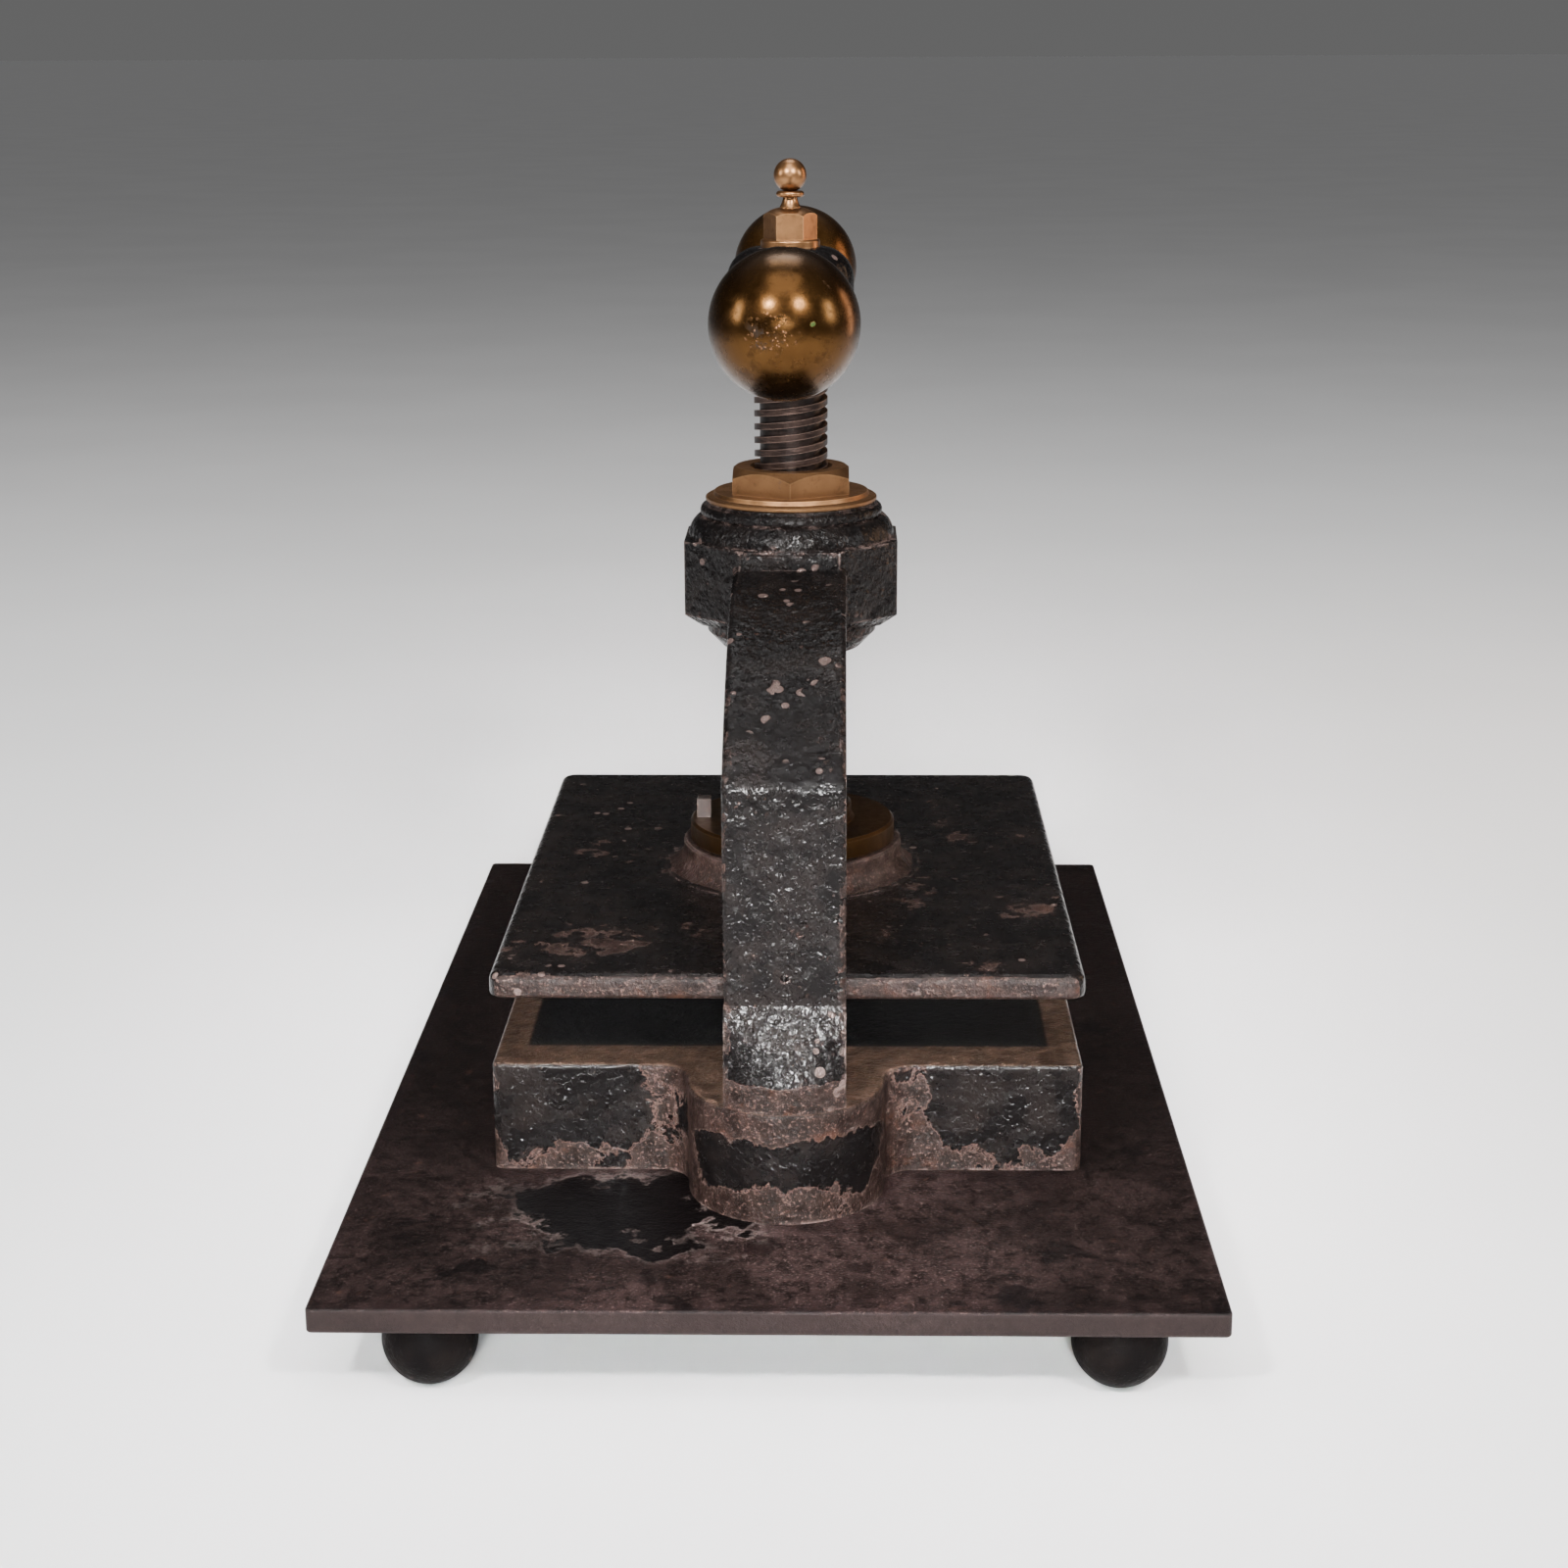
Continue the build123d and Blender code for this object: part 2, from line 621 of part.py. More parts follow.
cap_flats = 20.6
cap_bottom = hub_top + hub_washer_thick
cap_shoulder = cap_bottom + 12.0
cap_top = cap_shoulder + 1.5
cap_stud_radius = 2.5
with BuildPart() as cap_nut:
    with BuildSketch(press_level(cap_bottom)):
        RegularPolygon(cap_flats / 2, 6, major_radius=False)
    extrude(amount=cap_top - cap_bottom)
    with BuildSketch(turning_plane):
        with BuildLine():
            Polyline((0, cap_top), (0, cap_bottom), (12.4, cap_bottom), (12.4, cap_shoulder - 2.2))
            ThreePointArc((12.4, cap_shoulder - 2.2), (9.6, cap_shoulder), (5.5, cap_top))
            Line((5.5, cap_top), (0, cap_top))
        make_face()
    revolve(axis=press_axis, mode=Mode.INTERSECT)
    with BuildSketch(press_level(cap_bottom)):
        Circle(stud_radius + fit)
    extrude(amount=hub_top + 12.5 - cap_bottom, mode=Mode.SUBTRACT)
    with BuildSketch(press_level(cap_top)):
        Circle(cap_stud_radius + fit)
    extrude(amount=-4, mode=Mode.SUBTRACT)
cap_nut.part.label = "cap_nut"
export_step(cap_nut.part, "parts/cap_nut.step")

neck_height = 4.7
bead_height = 2.6
finial_ball_radius = 7.25
finial_ball_height = cap_top + neck_height + bead_height + finial_ball_radius - 0.45
with BuildPart() as finial:
    with BuildSketch(turning_plane):
        with BuildLine():
            Polyline((0, cap_top + neck_height + bead_height), (0, cap_top - 3.8),
                     (cap_stud_radius, cap_top - 3.8), (cap_stud_radius, cap_top), (4.6, cap_top),
                     (4.6, cap_top + 0.6))
            RadiusArc((4.6, cap_top + 0.6), (3.2, cap_top + neck_height), 9)
            Line((3.2, cap_top + neck_height), (5.2, cap_top + neck_height))
            ThreePointArc((5.2, cap_top + neck_height), (6.2, cap_top + neck_height + bead_height / 2),
                          (5.2, cap_top + neck_height + bead_height))
            Line((5.2, cap_top + neck_height + bead_height), (0, cap_top + neck_height + bead_height))
        make_face()
    revolve(axis=press_axis)
    with Locations((press_x, 0, finial_ball_height)):
        Sphere(finial_ball_radius)
finial.part.label = "finial"
export_step(finial.part, "parts/finial.step")
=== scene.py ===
"""Bookbinding press: materials, fine surface shape, floor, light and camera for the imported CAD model.

Metres. Every object shares the CAD frame: the floor at z = 0, the press screw along +Z.
"""
import math

import bpy
from mathutils import Matrix, Vector


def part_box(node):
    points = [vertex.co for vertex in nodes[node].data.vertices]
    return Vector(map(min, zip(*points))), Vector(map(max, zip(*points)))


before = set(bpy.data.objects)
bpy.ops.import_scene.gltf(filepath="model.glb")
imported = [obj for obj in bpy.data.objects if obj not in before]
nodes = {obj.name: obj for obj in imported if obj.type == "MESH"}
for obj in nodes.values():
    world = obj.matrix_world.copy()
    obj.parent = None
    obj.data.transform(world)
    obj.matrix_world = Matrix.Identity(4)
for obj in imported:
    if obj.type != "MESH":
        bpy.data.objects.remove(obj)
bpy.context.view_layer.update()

# ---------------------------------------------------------------- places on the press

# Dimensions of the CAD that no node's box gives.
PRESS_X = 0.0052
ARCH_HALF_WIDTH = 0.0248
ARCH_PAD_HEIGHT = 0.0108
BOSS_BOTTOM = 0.2535
PLATEN_THICK = 0.0106
PLATEN_BOSS_RADIUS = 0.0595
BED_HALF_LENGTH = 0.153
LOBE_CENTRE_Y = 0.167

plate_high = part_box("base_plate")[1]
bed_low, bed_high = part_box("bed")
platen_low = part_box("platen")[0]
ball_low, ball_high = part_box("handle_ball_near")

bed_half_width = (bed_high.x - bed_low.x) / 2
arch_pad_top = bed_high.z + ARCH_PAD_HEIGHT
platen_top = platen_low.z + PLATEN_THICK
ball_height = (ball_low.z + ball_high.z) / 2

# ---------------------------------------------------------------- node helpers


class Shader:
    """A material's node tree, with short calls for the nodes that the finishes use."""

    def __init__(self, name, offset=(0, 0, 0)):
        self.material = bpy.data.materials.new(name)
        self.material.use_nodes = True
        self.tree = self.material.node_tree
        self.tree.nodes.clear()
        output = self.tree.nodes.new("ShaderNodeOutputMaterial")
        self.bsdf = self.tree.nodes.new("ShaderNodeBsdfPrincipled")
        self.link(self.bsdf.outputs[0], output.inputs["Surface"])
        self.object_place = self.tree.nodes.new("ShaderNodeTexCoord").outputs["Object"]
        self.place = self.mapped(offset=offset)

    def link(self, source, target):
        self.tree.links.new(source, target)

    def feed(self, socket, value):
        """Link an output to a socket, or set the socket to a plain value."""
        if isinstance(value, bpy.types.NodeSocket):
            self.link(value, socket)
        else:
            socket.default_value = value

    def mapped(self, scale=(1, 1, 1), offset=(0, 0, 0)):
        """Object coordinates, stretched and shifted."""
        node = self.tree.nodes.new("ShaderNodeMapping")
        node.inputs["Scale"].default_value = scale
        node.inputs["Location"].default_value = offset
        self.link(self.object_place, node.inputs["Vector"])
        return node.outputs[0]

    def noise(self, scale, detail, rough, distortion=0.0, place=None):
        """Soft noise, mostly from 0.3 to 0.7, with scale waves to the metre."""
        node = self.tree.nodes.new("ShaderNodeTexNoise")
        node.inputs["Scale"].default_value = scale
        node.inputs["Detail"].default_value = detail
        node.inputs["Roughness"].default_value = rough
        node.inputs["Distortion"].default_value = distortion
        self.link(place or self.place, node.inputs["Vector"])
        return node.outputs["Fac"]

    def cells(self, scale, place=None):
        """Distance to the nearest of many scattered points, with scale cells to the metre."""
        node = self.tree.nodes.new("ShaderNodeTexVoronoi")
        node.inputs["Scale"].default_value = scale
        self.link(place or self.place, node.inputs["Vector"])
        return node.outputs["Distance"]

    def ramp(self, value, low, high, start=0.0, end=1.0):
        """Map low..high of a value smoothly to start..end, held beyond."""
        node = self.tree.nodes.new("ShaderNodeMapRange")
        node.interpolation_type = "SMOOTHSTEP"
        node.inputs["From Min"].default_value = low
        node.inputs["From Max"].default_value = high
        node.inputs["To Min"].default_value = start
        node.inputs["To Max"].default_value = end
        self.feed(node.inputs["Value"], value)
        return node.outputs["Result"]

    def math(self, operation, first, second=0.0):
        node = self.tree.nodes.new("ShaderNodeMath")
        node.operation = operation
        self.feed(node.inputs[0], first)
        self.feed(node.inputs[1], second)
        return node.outputs[0]

    def chain(self, operation, values):
        """Join several values by one operation, from left to right."""
        result = values[0]
        for value in values[1:]:
            result = self.math(operation, result, value)
        return result

    def add(self, *values):
        return self.chain("ADD", values)

    def times(self, *values):
        return self.chain("MULTIPLY", values)

    def highest(self, *values):
        return self.chain("MAXIMUM", values)

    def less(self, first, second):
        return self.math("SUBTRACT", first, second)

    def size(self, value):
        return self.math("ABSOLUTE", value)

    def length(self, *parts):
        """Length of the vector with these parts."""
        squares = [self.math("POWER", part, 2.0) for part in parts]
        return self.math("SQRT", self.chain("ADD", squares))

    def mix(self, factor, first, second):
        """Mix two colours by a factor."""
        node = self.tree.nodes.new("ShaderNodeMix")
        node.data_type = "RGBA"
        self.feed(node.inputs["Factor"], factor)
        for socket, value in ((node.inputs[6], first), (node.inputs[7], second)):
            if isinstance(value, bpy.types.NodeSocket):
                self.link(value, socket)
            else:
                socket.default_value = (*value, 1.0)
        return node.outputs[2]

    def blend(self, factor, first, second):
        """Mix two numbers by a factor."""
        node = self.tree.nodes.new("ShaderNodeMix")
        node.data_type = "FLOAT"
        self.feed(node.inputs["Factor"], factor)
        self.feed(node.inputs[2], first)
        self.feed(node.inputs[3], second)
        return node.outputs[0]

    def axis(self, name):
        """One object coordinate."""
        node = self.tree.nodes.new("ShaderNodeSeparateXYZ")
        self.link(self.object_place, node.inputs[0])
        return node.outputs[name]

    def across(self):
        """Distance to the right of the screw's axis."""
        return self.less(self.axis("X"), PRESS_X)

    def upward(self):
        """1 where the surface faces up, -1 where it faces down."""
        normal = self.tree.nodes.new("ShaderNodeTexCoord").outputs["Normal"]
        node = self.tree.nodes.new("ShaderNodeSeparateXYZ")
        self.link(normal, node.inputs[0])
        return node.outputs["Z"]

    def edges(self, radius):
        """Near 1 on corners within a radius, 0 on open faces."""
        bevel = self.tree.nodes.new("ShaderNodeBevel")
        bevel.samples = 6
        bevel.inputs["Radius"].default_value = radius
        geometry = self.tree.nodes.new("ShaderNodeNewGeometry")
        dot = self.tree.nodes.new("ShaderNodeVectorMath")
        dot.operation = "DOT_PRODUCT"
        self.link(bevel.outputs[0], dot.inputs[0])
        self.link(geometry.outputs["Normal"], dot.inputs[1])
        return self.ramp(dot.outputs["Value"], 0.995, 0.90)

    def bump(self, height, depth):
        """Surface normal from a height whose unit is depth."""
        node = self.tree.nodes.new("ShaderNodeBump")
        node.inputs["Strength"].default_value = 1.0
        node.inputs["Distance"].default_value = depth
        self.link(height, node.inputs["Height"])
        return node.outputs[0]

    def finish(self, colour, roughness, metallic=0.0, normal=None, shine=0.5):
        """Set the surface and return the material. shine is the specular level."""
        self.feed(self.bsdf.inputs["Base Color"], colour)
        self.feed(self.bsdf.inputs["Roughness"], roughness)
        self.feed(self.bsdf.inputs["Metallic"], metallic)
        self.bsdf.inputs["Specular IOR Level"].default_value = shine
        if normal is not None:
            self.link(normal, self.bsdf.inputs["Normal"])
        return self.material


# ---------------------------------------------------------------- where the paint has gone

BLACK_PAINT = (0.0022, 0.0018, 0.0018)
GREY_PAINT = (0.0050, 0.0038, 0.0035)
# Painted shadow: the near black put on the middle of the bed's top, where the platen above shades it.
SHADOW_BLACK = (0.0010, 0.0010, 0.0010)
DARK_IRON = (0.0036, 0.0020, 0.0016)
BROWN_IRON = (0.0125, 0.0073, 0.0061)
RUST = (0.0240, 0.0085, 0.0045)
PALE_FLAKE = (0.0700, 0.0420, 0.0350)
DARK_SCAB = (0.040, 0.026, 0.023)
PALE_SCAB = (0.080, 0.056, 0.050)
DARK_RIM = (0.012, 0.0070, 0.0045)
PALE_RIM = (0.044, 0.026, 0.018)
RUBBED_IRON = (0.095, 0.066, 0.059)
DUST = (0.240, 0.215, 0.195)


def no_bias(s):
    """Paint worn evenly all over."""
    return 0.0


def bed_bias(s):
    """The bed's paint is gone along its foot, under the arch, at the roots of the lobes and on its sides."""
    z = s.axis("Z")
    across = s.size(s.across())
    along = s.size(s.axis("Y"))
    foot = s.ramp(z, bed_low.z + 0.0215, bed_low.z + 0.0025, 0.0, 0.17)
    on_lobe = s.ramp(along, LOBE_CENTRE_Y - 0.001, LOBE_CENTRE_Y + 0.009)
    crown = s.times(s.ramp(z, bed_high.z - 0.0182, bed_high.z - 0.0072, 0.0, 0.26), on_lobe)
    beside_lobe = s.times(s.ramp(across, 0.030, 0.042), s.ramp(across, 0.070, 0.056))
    root = s.times(beside_lobe, s.ramp(along, BED_HALF_LENGTH - 0.003, BED_HALF_LENGTH), 0.16)
    corner = s.ramp(across, bed_half_width - 0.00775, bed_half_width + 0.00025, 0.0, 0.13)
    return s.add(s.highest(foot, crown), root, corner)


def arch_bias(s):
    """The arch's paint is gone on its foot pads and rubbed along its long edges."""
    z = s.axis("Z")
    across = s.size(s.across())
    pad = s.ramp(z, arch_pad_top + 0.005, arch_pad_top - 0.002, 0.0, 0.30)
    flaking = s.ramp(s.noise(260.0, 3.0, 0.6, 0.2, s.object_place), 0.44, 0.56)
    edge = s.ramp(across, ARCH_HALF_WIDTH - 0.0053, ARCH_HALF_WIDTH - 0.0003, 0.0, 0.22)
    below_boss = s.ramp(z, BOSS_BOTTOM + 0.0085, BOSS_BOTTOM - 0.0085)
    return s.add(pad, s.times(edge, below_boss, flaking))


def platen_bias(s):
    """The platen is bare on its front edge and round its boss, and patchy towards its front corners."""
    along = s.axis("Y")
    across = s.across()
    front = s.ramp(along, platen_low.y + 0.0020, platen_low.y + 0.0005, 0.0, 0.30)
    radius = s.length(across, along)
    near_boss = s.ramp(radius, PLATEN_BOSS_RADIUS + 0.0065, PLATEN_BOSS_RADIUS - 0.0015, 0.0, 0.22)
    skirt = s.times(near_boss, s.ramp(s.axis("Z"), platen_top + 0.0002, platen_top + 0.0012))
    corner = s.times(s.ramp(s.size(across), 0.05, 0.09), s.ramp(along, -0.02, -0.09, 0.0, 0.075))
    return s.add(s.highest(front, skirt), corner)


def flaked(s, bias, bare, speckle, flakes):
    """Where the paint is gone, the lip round those patches, and the round scabs."""
    broad = s.noise(16.0, 3.0, 0.55, 0.3)
    ragged = s.noise(75.0, 6.0, 0.68, 0.4)
    worn = s.add(s.times(broad, 0.55), s.times(ragged, 0.45), bias(s))
    line = 0.66 - 0.12 * bare
    patches = s.ramp(worn, line, line + 0.012)
    lip = s.times(s.ramp(worn, line - 0.012, line), s.ramp(worn, line + 0.022, line + 0.006))
    spot_line = 0.70 - 0.07 * speckle
    spots = s.ramp(s.noise(330.0, 3.0, 0.6), spot_line, spot_line + 0.035)
    spots = s.times(spots, s.ramp(s.noise(30.0, 3.0, 0.6), 0.44, 0.58))
    scab_size = 0.18 + 0.20 * flakes
    scab_line = 0.64 - 0.12 * flakes
    scabs = s.ramp(s.cells(140.0), scab_size + 0.03, scab_size)
    scabs = s.times(scabs, s.ramp(s.noise(42.0, 2.0, 0.5), scab_line, scab_line + 0.04))
    return s.highest(patches, spots, scabs), lip, scabs


def bed_parts(s):
    """The bed's upward faces, and of them the middle of the top within the rim, where the platen's shadow is
    painted.
    """
    upward = s.ramp(s.upward(), 0.6, 0.8)
    shadow_across = s.ramp(s.size(s.across()), bed_half_width - 0.01225, bed_half_width - 0.01425)
    shadow_along = s.ramp(s.size(s.axis("Y")), BED_HALF_LENGTH - 0.0205, BED_HALF_LENGTH - 0.0230)
    return upward, s.times(shadow_across, shadow_along, upward)


# ---------------------------------------------------------------- finishes


def dusted(s, colour, cell_scale, speck_range, noise_scale, noise_range, weight):
    """A colour with specks of pale dust, one to a cell, where a coarser noise lets them show."""
    specks = s.ramp(s.cells(cell_scale), *speck_range)
    specks = s.times(specks, s.ramp(s.noise(noise_scale, 1.0, 0.5), *noise_range))
    return s.mix(s.times(specks, weight), colour, DUST)


def cast_height(s, bared, grain):
    """Relief of painted cast iron: swells, orange peel, lumps, craters, pinholes and bare grain."""
    swell = s.times(s.noise(110.0, 2.0, 0.5), 0.60)
    orange_peel = s.times(s.noise(300.0, 2.0, 0.5), 0.34)
    lumps = s.ramp(s.noise(400.0, 2.0, 0.55, 0.3), 0.54, 0.64, 0.0, 0.100)
    craters = s.ramp(s.cells(230.0), 0.10, 0.30, 0.0, 0.12)
    pinholes = s.ramp(s.cells(520.0, s.mapped(offset=(1.7, 0.3, 2.9))), 0.10, 0.30, 0.0, 0.050)
    grained = s.times(grain, s.blend(bared, 0.020, 0.30))
    height = s.add(swell, orange_peel, craters, pinholes, lumps, grained)
    return s.less(height, s.times(bared, 0.06))


def painted_iron(name, bias=no_bias, bare=0.5, speckle=0.5, flakes=0.5, offset=(0, 0, 0), gloss=0.19,
                 lump=1.0, shine=0.09, bed_top=False):
    """Thick black paint over pitted cast iron, flaked off in patches.

    bare is how much paint has gone, speckle how many small rust spots there are, flakes how
    many round pale scabs, gloss the paint's roughness, lump how uneven the casting is, and
    shine its specular level. bed_top gives the bed its bare rim and a painted shadow, near
    black and matt, on the middle of its top under the platen.
    """
    s = Shader(name, offset)
    bared, lip, scabs = flaked(s, bias, bare, speckle, flakes)
    grain = s.noise(700.0, 3.0, 0.66)
    mottle = s.noise(140.0, 5.0, 0.66, 0.3)
    iron = s.mix(s.ramp(mottle, 0.38, 0.64), DARK_IRON, BROWN_IRON)
    iron = s.mix(s.ramp(s.noise(70.0, 5.0, 0.7, 0.4), 0.56, 0.70, 0.0, 0.8), iron, RUST)
    iron = s.mix(s.ramp(grain, 0.55, 0.68, 0.0, 0.85), iron, PALE_FLAKE)
    iron = s.mix(scabs, iron, s.mix(mottle, DARK_SCAB, PALE_SCAB))
    paint = s.mix(s.ramp(s.noise(52.0, 4.0, 0.6), 0.42, 0.66), BLACK_PAINT, GREY_PAINT)
    paint = s.mix(s.times(lip, 0.65), paint, PALE_FLAKE)
    if bed_top:
        # The bed's upward faces show bare iron, but the middle of the top gets a painted shadow of the
        # platen, near black and matt, in place of paint and iron.
        upward, painted_shadow_area = bed_parts(s)
        iron = s.mix(upward, iron, s.mix(s.ramp(mottle, 0.42, 0.62), DARK_RIM, PALE_RIM))
        bared = s.times(s.highest(bared, s.times(upward, 0.9)), s.less(1.0, painted_shadow_area))
        paint = s.mix(painted_shadow_area, paint, SHADOW_BLACK)
    colour = dusted(s, s.mix(bared, paint, iron), 210.0, (0.055, 0.030), 150.0, (0.58, 0.62), 0.7)
    rubbed = s.times(s.edges(0.0022), s.ramp(s.noise(130.0, 5.0, 0.65), 0.47, 0.58, 0.04, 0.85))
    colour = s.mix(rubbed, colour, RUBBED_IRON)

    rough = s.ramp(s.noise(190.0, 3.0, 0.6), 0.32, 0.70, gloss - 0.06, gloss + 0.12)
    rough = s.blend(bared, rough, 0.42)
    if bed_top:
        rough = s.blend(painted_shadow_area, rough, 0.9)
    normal = s.bump(cast_height(s, bared, grain), 0.0019 * lump)
    return s.finish(colour, rough, 0.0, normal, shine)


POOL_CENTRE = (-0.058, -0.197)
POOL_RADII = (0.050, 0.036)
POOL_BLACK = (0.0014, 0.0011, 0.0012)
POOL_LIP = (0.100, 0.078, 0.072)
PLATE_SHADE = ((0.0010, 0.0006, 0.0006), (0.0042, 0.0024, 0.0023))
PLATE_BROWN = ((0.0030, 0.0018, 0.0018), (0.0250, 0.0145, 0.0138))
PLATE_GRAIN = ((0.010, 0.006, 0.0055), (0.095, 0.064, 0.058))
PLATE_SIDE = ((0.0065, 0.0042, 0.0039), (0.0180, 0.0125, 0.0118))
PLATE_RUST = (0.040, 0.019, 0.013)
PLATE_EDGE = (0.125, 0.105, 0.105)


def plate_pool(s):
    """Above 0 in the scalloped pool of black paint left on the base plate, below 0 outside it."""
    pool_x = s.math("DIVIDE", s.less(s.axis("X"), POOL_CENTRE[0]), POOL_RADII[0])
    pool_y = s.math("DIVIDE", s.less(s.axis("Y"), POOL_CENTRE[1]), POOL_RADII[1])
    scallop = s.times(s.less(s.noise(60.0, 6.0, 0.66), 0.5), 3.2)
    return s.less(scallop, s.less(s.length(pool_x, pool_y), 1.0))


def plate_iron(name):
    """Flat iron sheet, purplish brown with fine rust, black paint left in a scalloped pool and strays."""
    s = Shader(name, (3.1, 1.7, 0.4))
    pool = plate_pool(s)
    stray = s.ramp(s.noise(27.0, 6.0, 0.62), 0.615, 0.63)
    painted = s.highest(s.ramp(pool, 0.0, 0.05), s.times(stray, 0.7))
    lip = s.times(s.ramp(pool, -0.22, -0.02), s.ramp(pool, 0.08, 0.0))
    front = s.ramp(s.axis("Y"), -0.06, -0.20)
    middle = s.ramp(s.size(s.axis("X")), plate_high.x - 0.0109, 0.030)
    worn = s.times(s.ramp(front, 0.0, 1.0, 0.16, 1.0), s.ramp(middle, 0.0, 1.0, 0.45, 1.0))
    worn = s.times(worn, s.ramp(s.noise(24.0, 6.0, 0.68), 0.40, 0.58, 0.30, 1.0))
    fine = s.noise(760.0, 3.0, 0.75)
    mid = s.noise(210.0, 5.0, 0.75)
    shade = s.mix(s.ramp(mid, 0.40, 0.66), *PLATE_SHADE)
    brown = s.mix(s.ramp(mid, 0.36, 0.64), *PLATE_BROWN)
    iron = s.mix(worn, shade, brown)
    iron = s.mix(s.ramp(fine, 0.55, 0.70, 0.0, 0.85), iron, s.mix(worn, *PLATE_GRAIN))
    iron = s.mix(s.ramp(s.noise(120.0, 5.0, 0.7), 0.63, 0.74, 0.0, 0.7), iron, PLATE_RUST)
    iron = s.mix(s.times(lip, worn, 0.55), iron, POOL_LIP)
    colour = dusted(s, s.mix(painted, iron, POOL_BLACK), 165.0, (0.050, 0.028), 110.0, (0.55, 0.60), 0.6)
    side = s.ramp(s.size(s.upward()), 0.55, 0.30, 0.0, 0.85)
    colour = s.mix(side, colour, s.mix(mid, *PLATE_SIDE))
    corner = s.edges(0.0013)
    colour = s.mix(s.times(corner, 0.75), colour, PLATE_EDGE)
    rough = s.blend(painted, s.ramp(mid, 0.3, 0.7, 0.44, 0.60), 0.30)
    rough = s.blend(corner, rough, 0.30)
    bare_height = s.add(s.times(fine, 0.20), s.times(mid, 0.40), s.times(s.noise(60.0, 3.0, 0.5), 0.45))
    height = s.blend(painted, bare_height, s.add(s.times(bare_height, 0.45), 0.30))
    return s.finish(colour, rough, 0.0, s.bump(height, 0.0016), shine=0.05)


GOLDEN_BRASS = ((0.066, 0.031, 0.0088), (0.043, 0.0188, 0.0050), (0.016, 0.0066, 0.0020))
COPPERY_BRASS = ((0.130, 0.066, 0.0290), (0.088, 0.043, 0.0185), (0.034, 0.0150, 0.0060))
BRASS_EDGE = (0.22, 0.125, 0.06)
BRASS_EDGE_LIMIT = 0.7
BRASS_STAIN = (0.020, 0.013, 0.009)
BRASS_PIT = (0.012, 0.007, 0.005)
GREY_STAIN = (0.012, 0.009, 0.007)
COPPER_SCAB = (0.190, 0.095, 0.050)
GREEN_SPOT = (0.026, 0.052, 0.003)


def ball_marks(s, mottle):
    """The viewer's side of the near ball: its green spot, scabs and grey stain."""
    front = s.ramp(s.axis("Y"), ball_low.y + 0.0303, ball_low.y + 0.0193)
    z = s.axis("Z")
    from_spot = s.length(s.less(s.across(), 0.0118), s.less(z, ball_height + 0.0028))
    spot = s.times(s.ramp(s.add(from_spot, s.times(mottle, 0.004)), 0.0031, 0.0025), front)
    from_patch = s.length(s.add(s.across(), 0.0050), s.times(s.less(z, ball_height - 0.0007), 1.5))
    patch = s.times(s.ramp(from_patch, 0.0135, 0.0070), front)
    scabs = s.times(s.ramp(s.cells(560.0), 0.36, 0.26), patch, s.ramp(mottle, 0.44, 0.50))
    cloud = s.noise(170.0, 6.0, 0.7, 0.0, s.mapped(offset=(8.3, 1.0, 3.0)))
    return spot, scabs, s.times(patch, s.ramp(cloud, 0.53, 0.66))


def aged_brass(name, offset, palette=GOLDEN_BRASS, tone=1.0, stain=0.5, satin=0.24, marks=False):
    """Handled brass: golden brown, darker in its hollows, with pits and dull stains.

    tone scales the palette, stain is how far the dull stains spread and satin the roughness.
    marks adds a patch of scabs with a grey stain and one small green spot.
    """
    s = Shader(name, offset)
    mottle = s.noise(210.0, 5.0, 0.65, 0.2)
    light, middle, dark = (tuple(tone * c for c in shade) for shade in palette)
    colour = s.mix(s.ramp(s.noise(30.0, 5.0, 0.6, 0.5), 0.34, 0.66), middle, light)
    colour = s.mix(s.ramp(mottle, 0.48, 0.72, 0.0, 0.55), colour, dark)
    stains = s.ramp(s.noise(60.0, 6.0, 0.7, 0.7), 0.68 - 0.06 * stain, 0.74)
    colour = s.mix(s.times(stains, 0.7), colour, BRASS_STAIN)
    pits = s.times(s.ramp(s.cells(420.0), 0.15, 0.05), s.ramp(s.noise(75.0, 3.0, 0.6), 0.55, 0.66))
    height = s.add(s.times(mottle, 0.10), s.times(s.noise(900.0, 3.0, 0.6), 0.045))
    height = s.less(height, s.times(pits, 0.30))
    if marks:
        spot, scabs, grey = ball_marks(s, mottle)
        colour = s.mix(s.times(grey, 0.75), colour, GREY_STAIN)
        colour = s.mix(s.times(scabs, 0.8), colour, COPPER_SCAB)
        colour = s.mix(spot, colour, GREEN_SPOT)
        height = s.add(height, s.times(scabs, 0.35), s.times(spot, 0.25))
        stains = s.highest(stains, spot, s.times(grey, 0.6))
    colour = s.mix(pits, colour, BRASS_PIT)
    edge = tuple(min(BRASS_EDGE_LIMIT, tone * c) for c in BRASS_EDGE)
    colour = s.mix(s.times(s.edges(0.0009), 0.65), colour, edge)
    metallic = s.ramp(stains, 0.0, 1.0, 0.96, 0.45)
    rough = s.blend(stains, s.ramp(mottle, 0.3, 0.72, satin - 0.04, satin + 0.07), 0.55)
    return s.finish(colour, rough, metallic, s.bump(height, 0.00035))


THREAD_GREASE = ((0.0050, 0.0028, 0.0021), (0.017, 0.0092, 0.0068))
THREAD_LAND = ((0.010, 0.0048, 0.0034), (0.024, 0.0128, 0.0092))
THREAD_STREAK = (0.080, 0.0500, 0.0400)
THREAD_EDGE = (0.190, 0.125, 0.100)


